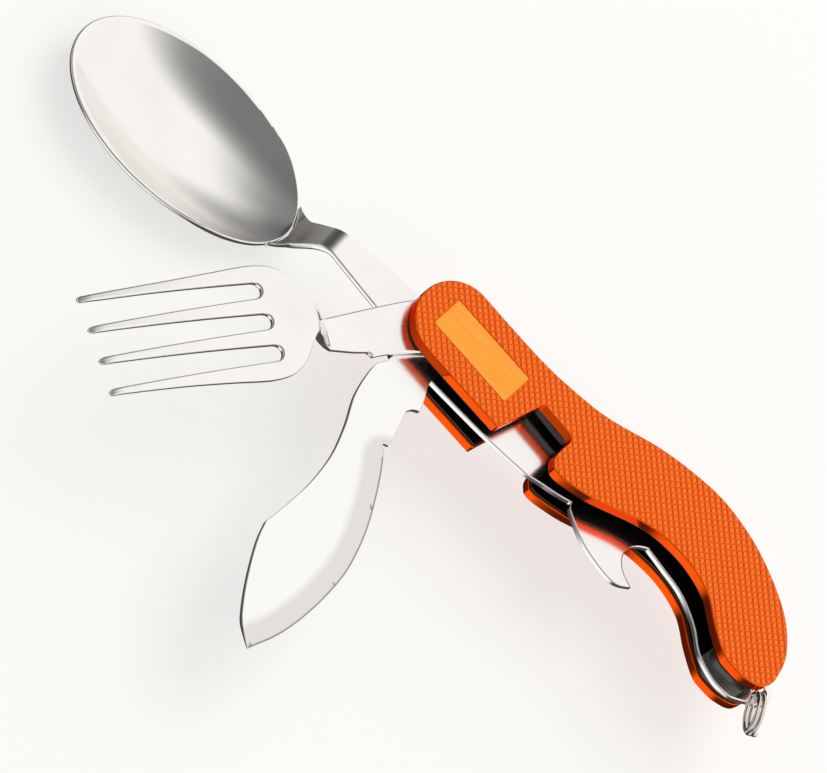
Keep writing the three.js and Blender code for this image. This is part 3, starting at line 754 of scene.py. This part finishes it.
def spoon_surface():
    """The tang, the crank down to the rim, and the bowl, which opens softly from the neck."""
    tang = levels_of("spoon")[1] - SPOON_SHEET / 2
    lowest = levels_of("spoon")[0]
    reach = plan_loops("spoon", SPOON_REST)[0][:, 0].max()
    bowl_middle = (BOWL_FROM + reach) / 2
    to_tip = reach - BOWL_RIM - bowl_middle
    to_neck = bowl_middle - BOWL_OPENS
    across = BOWL_HALF - BOWL_RIM
    rim = tang + SPOON_SHEET / 2 - SPOON_DROP - BOWL_SHEET / 2
    depth = rim - lowest - BOWL_SHEET / 2

    def middle(u, v):
        x = (u - bowl_middle) / np.where(u < bowl_middle, to_neck, to_tip)
        y = (v - SPOON_AXIS) / across / (1 + BOWL_EGG * np.clip(x, -1, 1))
        share = np.sqrt(x**2 + y**2 + 1e-9)
        mouth = np.clip((u - BOWL_FROM) / BOWL_MOUTH, 0, 1)
        turn = BOWL_TURNS[0] + (BOWL_TURNS[1] - BOWL_TURNS[0]) * mouth * mouth * (3 - 2 * mouth)
        dish = soft(depth * (1 - share**BOWL_POWER), turn)
        down = ramp(u, *SPOON_CRANK, CRANK_BEND)
        return tang + (rim - tang) * down - dish * np.clip(down, 0, 1)

    def sheet(u, v):
        return SPOON_SHEET + (BOWL_SHEET - SPOON_SHEET) * ramp(u, *BOWL_THINS, 0.4)

    return bent(middle, sheet)


def knife_surface(outline):
    """A flat blade, ground thin from its grind line down to the cutting edge."""
    low, high = levels_of("knife")
    edge = outline[(outline[:, 1] > 0) & (outline[:, 0] > KNIFE_EDGE_FROM)]
    steps = np.linspace(0, 1, 6, endpoint=False)[:, None]
    fine = np.vstack([a + (b - a) * steps for a, b in zip(edge, edge[1:])])
    thin = KNIFE_EDGE_SHEET / 2

    def bevel(u, v):
        away = nearest(np.stack([u, v], 1), fine)
        return np.clip(soft(1 - away / KNIFE_GRIND, 0.04), 0, 1)

    def surface(u, v):
        half = (high - low) / 2
        return np.full_like(u, (low + high) / 2), half - (half - thin) * bevel(u, v)

    return surface, bevel, edge


# ---------------------------------------------------------------- pieces
def with_attribute(obj, name, values):
    """Stores a value at each corner of a piece, for its material."""
    attribute = obj.data.attributes.new(name, "FLOAT", "POINT")
    attribute.data.foreach_set("value", np.asarray(values, np.float32))


def plan_of(obj, turn):
    """A piece's corners seen from the front, in mm and turned back by turn."""
    points = np.array([v.co[:2] for v in obj.data.vertices]) / MM
    return turned(points, -turn)


def rectangle(centre, size, turn, corner=PLAQUE_CORNER):
    """A rectangle with rounded corners, counter-clockwise."""
    half = np.array(size) / 2 - corner
    made = []
    for i, (sx, sy) in enumerate([(1, 1), (-1, 1), (-1, -1), (1, -1)]):
        for k in range(5):
            a = math.radians(90 * i + 22.5 * k)
            made.append((sx * half[0] + corner * math.cos(a), sy * half[1] + corner * math.sin(a)))
    return turned(np.array(made), turn) + centre


def knurling(name, loops, low, high, back, finish):
    """Knurling over a plan, standing from low to high."""
    first, second = (math.radians(a) for a in KNURL_GROOVES)
    side = KNURL_PITCH * MM / math.sin(first - second)
    plan = np.vstack(loops)
    centre = (plan.min(0) + plan.max(0)) / 2
    spread = np.linalg.norm(plan.max(0) - plan.min(0)) / KNURL_PITCH
    trim = plate(name + "_trim", loops, flat(low - KNURL_SUNK + 0.01, high + 0.2), edge=0.01)
    studs = run_tree(name, knurl_tree(), {
        "Columns": int(spread), "Rows": int(spread),
        "First side": (side * math.cos(first), side * math.sin(first), 0.0),
        "Second side": (side * math.cos(second), side * math.sin(second), 0.0),
        "Centre": (*(centre * MM), (low + high - KNURL_SUNK) / 2 * MM),
        "Height": (high - low + KNURL_SUNK) * MM, "Foot": KNURL_STUD[0], "Crest": KNURL_STUD[1],
        "Reach": KNURL_PITCH * MM, "Trim": trim, "Finish": finish})
    bpy.data.objects.remove(trim)
    height = np.array([v.co.z for v in studs.data.vertices]) / MM
    # The crest share (0 in the grooves, 1 on the crests) drives the painted shade in the grooves of
    # the knurled finish.
    with_attribute(studs, "crest", (height - low) / (high - low))
    if back:
        studs.data.transform(Matrix.Rotation(math.pi, 4, "X"))
    return studs


def scale(node, finish, knurl_finish, plaque=None):
    """A scale: a smooth body with chamfered edges, and knurling over its outer face."""
    back = plaque is None
    outline = plan_loops(node, back=back)[0]
    low, high = levels_of(node)
    if back:
        low, high = -high, -low
    floor = high - KNURL_HEIGHT
    body = plate(node + "_body", [outline], flat(low, floor), edge=0.22, share=0.12, back=back)
    placed(body, "handle", finish, node, slot="anodised_orange")
    loops = [inset(outline, KNURL_MARGIN)]
    if plaque:
        pocket = rectangle(PLAQUE_CENTRE, np.array(PLAQUE_SIZE) + 2 * POCKET_MARGIN, PLAQUE_TURN)
        loops.append(pocket[::-1])
        inlay = plate("front_scale_plaque", [rectangle(PLAQUE_CENTRE, PLAQUE_SIZE, PLAQUE_TURN)],
                      flat(floor - 0.02, floor + PLAQUE_RAISED), edge=0.12, share=0.6)
        placed(inlay, "handle", plaque, slot="anodised_orange")
    studs = knurling(node + "_knurling", loops, floor, high, back, knurl_finish)
    placed(studs, "handle", knurl_finish, slot="anodised_orange")


def flat_piece(node, body, finish, slot, edge, share):
    """A flat piece with its CAD node's outline and levels, and rounded edges."""
    piece = plate(node + "_plate", plan_loops(node), flat(*levels_of(node)), edge=edge, share=share)
    return placed(piece, body, finish, node, slot=slot)


def make_fork(finish):
    """The fork, pressed from one sheet."""
    loops = plan_loops("fork", FORK_REST)
    piece = plate("fork_sheet", loops, fork_surface(), *FORK_EDGE, TOOL_GRID, FORK_REST)
    placed(piece, "fork", finish, "fork", slot="polished_steel")


def make_spoon(finish):
    """The spoon, pressed from one sheet, whose mesh follows the rim of the bowl."""
    loops = plan_loops("spoon", SPOON_REST)
    loops[0] = filleted(loops[0], *BOWL_FILLET)
    rims = [inset(loops[0], BOWL_RIM + beyond) for beyond in BOWL_RIM_LINES]
    rims = [rim[rim[:, 0] > BOWL_RIM_FROM] for rim in rims]
    piece = plate("spoon_sheet", loops, spoon_surface(), *SPOON_EDGE, TOOL_GRID, SPOON_REST,
                  creases=rims)
    placed(piece, "spoon", finish, "spoon", slot="polished_steel")


def make_knife(finish):
    """The blade, whose mesh follows its honed line and its grind line."""
    loops = plan_loops("knife", KNIFE_REST)
    surface, bevel, edge = knife_surface(loops[0])
    lines = []
    turn = KNIFE_GRIND_TURN
    for reach in (KNIFE_HONED, KNIFE_GRIND - turn, KNIFE_GRIND, KNIFE_GRIND + turn):
        line = inset(edge, reach)
        lines.append(line[nearest(line, edge) > reach - 0.04])
    piece = plate("knife_blade", loops, surface, *KNIFE_EDGE, TOOL_GRID, KNIFE_REST, creases=lines)
    ground = bevel(*plan_of(piece, KNIFE_REST).T)
    # The bevel share drives the painted shade on the ground bevel, and the honed share the painted
    # dark line along the cutting edge.
    with_attribute(piece, "bevel", ground)
    with_attribute(piece, "honed", ground > 1 - KNIFE_HONED / KNIFE_GRIND)
    placed(piece, "knife", finish, "knife", slot="polished_steel")


def make_ring(finish):
    """The split ring, coiled round the point where it hangs in its lug."""
    lug = next(j for j in frame["joints"] if j["name"] == "ring_swing")["pos_m"]
    ring = run_tree("split_ring_coil", ring_tree(), {
        "Turns": float(RING_TURNS), "Radius": RING_R * MM, "Length": RING_TURNS * RING_PITCH * MM,
        "Wire": RING_WIRE_R * MM, "Hang": (0, 0, math.radians(RING_HANG)), "Held at": lug,
        "Finish": finish})
    placed(ring, "key_ring", finish, "split_ring", slot="ring_steel")


# ---------------------------------------------------------------- camera, light and floor
def make_camera():
    """A long lens above the belly side, with the handle running down to the right."""
    tilt, roll = math.radians(CAMERA_TILT), math.radians(CAMERA_ROLL)
    along = Vector((1, 0, 0))
    across = Vector((0, math.cos(tilt), math.sin(tilt)))
    right = math.cos(roll) * along + math.sin(roll) * across
    up = -math.sin(roll) * along + math.cos(roll) * across
    back = right.cross(up)
    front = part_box("front_scale")[1].z
    target = Vector((0, 0, front)) + MM * (AIM[0] * along + AIM[1] * across)
    distance = FRAME_WIDTH * MM * CAMERA_LENS / CAMERA_SENSOR
    data = bpy.data.cameras.new("camera")
    data.lens = CAMERA_LENS
    data.sensor_width = CAMERA_SENSOR
    camera = linked(bpy.data.objects.new("camera", data))
    camera.matrix_world = Matrix.Translation(target + back * distance) @ Matrix(
        (right, up, back)).transposed().to_4x4()
    bpy.context.scene.camera = camera


def zone(tree, way, direction, inner, outer):
    """1 within inner degrees of a direction, falling softly to nothing at outer degrees."""
    facing = add(tree, "ShaderNodeVectorMath", {"operation": "DOT_PRODUCT"},
                 {0: way, 1: Vector(direction).normalized()})
    return add(tree, "ShaderNodeMapRange", {"interpolation_type": "SMOOTHSTEP"},
               {"Value": facing.outputs["Value"], "From Min": math.cos(math.radians(outer)),
                "From Max": math.cos(math.radians(inner))}).outputs[0]


def make_world():
    """A white studio with dark sides below and to the left, and a white card at the belly."""
    world = bpy.data.worlds.new("studio")
    world.use_nodes = True
    tree = world.node_tree
    way = add(tree, "ShaderNodeTexCoord").outputs["Generated"]
    bright = WORLD_STRENGTH
    for direction, inner, outer, depth in DARK_SIDES:
        shade = add(tree, "ShaderNodeMath", {"operation": "MULTIPLY_ADD"},
                    {0: zone(tree, way, direction, inner, outer), 1: -depth, 2: 1.0})
        bright = add(tree, "ShaderNodeMath", {"operation": "MULTIPLY"},
                     {0: bright, 1: shade.outputs[0]}).outputs[0]
    for direction, inner, outer, level in WHITE_CARDS:
        card = add(tree, "ShaderNodeMath", {"operation": "MULTIPLY"},
                   {0: zone(tree, way, direction, inner, outer), 1: level})
        bright = add(tree, "ShaderNodeMath", {"operation": "MAXIMUM"},
                     {0: bright, 1: card.outputs[0]}).outputs[0]
    background = tree.nodes["Background"]
    background.inputs["Color"].default_value = linear("#FFFEFD")
    tree.links.new(bright, background.inputs["Strength"])
    bpy.context.scene.world = world


def make_light():
    """The studio, a soft lamp over the spine and a lit table under the piece."""
    make_world()
    place, size, power = LAMP
    data = bpy.data.lights.new("softbox", "AREA")
    data.shape = "DISK"
    data.size = size
    data.energy = power
    lamp = linked(bpy.data.objects.new("softbox", data))
    lamp.location = place
    lamp.visible_glossy = False
    lamp.rotation_euler = (-Vector(place)).to_track_quat("-Z", "Y").to_euler()
    mesh = bpy.data.meshes.new("floor")
    z = CAD_BOX[0].z - 0.1 * MM
    r = TABLE_HALF
    mesh.from_pydata([(-r, -r, z), (r, -r, z), (r, r, z), (-r, r, z)], [], [(0, 1, 2, 3)])
    floor = linked(bpy.data.objects.new("floor", mesh))
    made, _, shader, _ = new_material("opal_acrylic_light_table", Roughness=0.8,
                                      Emission_Strength=TABLE_GLOW)
    shader.inputs["Base Color"].default_value = linear("#9A9997")
    shader.inputs["Emission Color"].default_value = linear("#FFFEFC")
    mesh.materials.append(made)
    floor.visible_glossy = False  # polished metal mirrors the studio, not its own shadow
    bpy.context.scene.view_settings.view_transform = "Standard"


# ---------------------------------------------------------------- the object
make_camera()

knurled, smooth_orange, plaque = knurled_aluminium(), smooth_aluminium(), plaque_aluminium()
bright = ("#F3F1EE", "#FAF8F5")
spoon_steel = polished_steel("polished_spoon_steel", SPOON_REST, bright, (0.1, 0.2))
fork_steel = polished_steel("polished_fork_steel", FORK_REST, bright, (0.14, 0.24))
plate_steel = polished_steel("polished_plate_steel", 0, bright, (0.1, 0.18))
# Springs and liners get a near-black base colour: a painted dark reflection, standing in for the dark
# surroundings mirrored in their polished walls.
spring_steel = polished_steel("spring_steel_painted_dark", 0, ("#3A3734", "#46433F"), (0.16, 0.26))
ring_steel = polished_steel("nickelled_ring_wire", 0, ("#D6D2CA", "#E4E0D8"), (0.08, 0.16))
pin_steel = polished_steel("turned_pin_steel", 0, ("#B9B6B2", "#C9C6C2"), (0.2, 0.35))

scale("front_scale", smooth_orange, knurled, plaque)
scale("rear_scale", smooth_orange, knurled)
flat_piece("opener_plate", "handle", plate_steel, "polished_steel", 0.3, 0.3)
for node in ("front_liner", "rear_liner"):
    flat_piece(node, "handle", spring_steel, "liner_steel", 0.1, 0.2)
for node in ("spoon_spring", "knife_spring", "fork_spring"):
    flat_piece(node, "handle", spring_steel, "spring_steel", 0.08, 0.1)
make_fork(fork_steel)
make_spoon(spoon_steel)
make_knife(ground_steel())
make_ring(ring_steel)
for node, cad in frame["nodes"].items():
    if not cad.hide_render:
        cad.data.materials.clear()
        cad.data.materials.append(pin_steel)

make_light()
